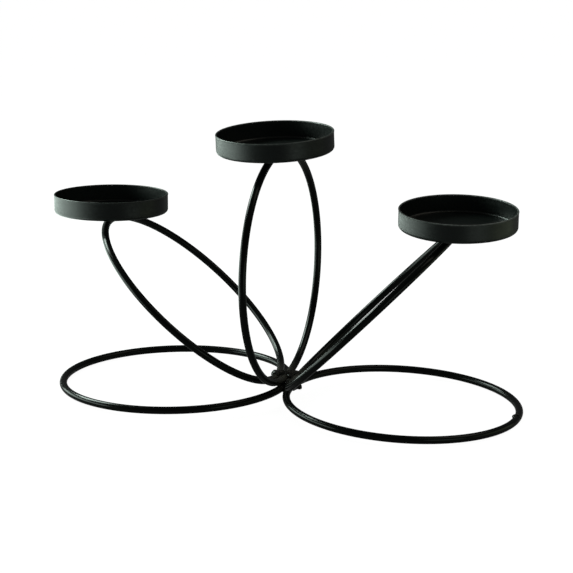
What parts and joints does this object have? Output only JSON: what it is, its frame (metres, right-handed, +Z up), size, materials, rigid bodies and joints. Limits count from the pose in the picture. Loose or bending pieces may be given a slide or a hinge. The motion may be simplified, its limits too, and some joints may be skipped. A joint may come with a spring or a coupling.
{
  "type": "candelabra",
  "caption": "Table candle stand of equal black wire rings fanned out from one welded hub, lying flat as a base and standing to carry round candle pans.",
  "frame": {"origin": "on the table, under the middle of the stand's overall length and depth", "axes": "+Z up; +X along the stand from the lower left pan to the right pan; the ring wires cross the hub along Y, and the front is -Y"},
  "size_m": [0.3612, 0.1756, 0.2031],
  "materials": {
    "wire": "satin black powder coat on steel wire",
    "pan": "satin black powder coat on drawn steel sheet",
    "weld": "satin black powder coat over weld metal"
  },
  "bodies": {
    "root": {"floor_ring_left": "wire", "floor_ring_right": "wire", "tilted_ring_left": "wire", "upright_ring": "wire", "tilted_ring_right": "wire", "ring_joint_weld": "weld", "candle_pan_left": "pan", "candle_pan_middle": "pan", "candle_pan_right": "pan", "pan_weld_left": "weld", "pan_weld_middle": "weld", "pan_weld_right": "weld", "hub_weld_left": "weld", "hub_weld_top": "weld", "hub_weld_right": "weld", "hub_weld_floor": "weld", "hub_weld_back": "weld", "hub_weld_drip": "weld"}
  },
  "joints": []
}
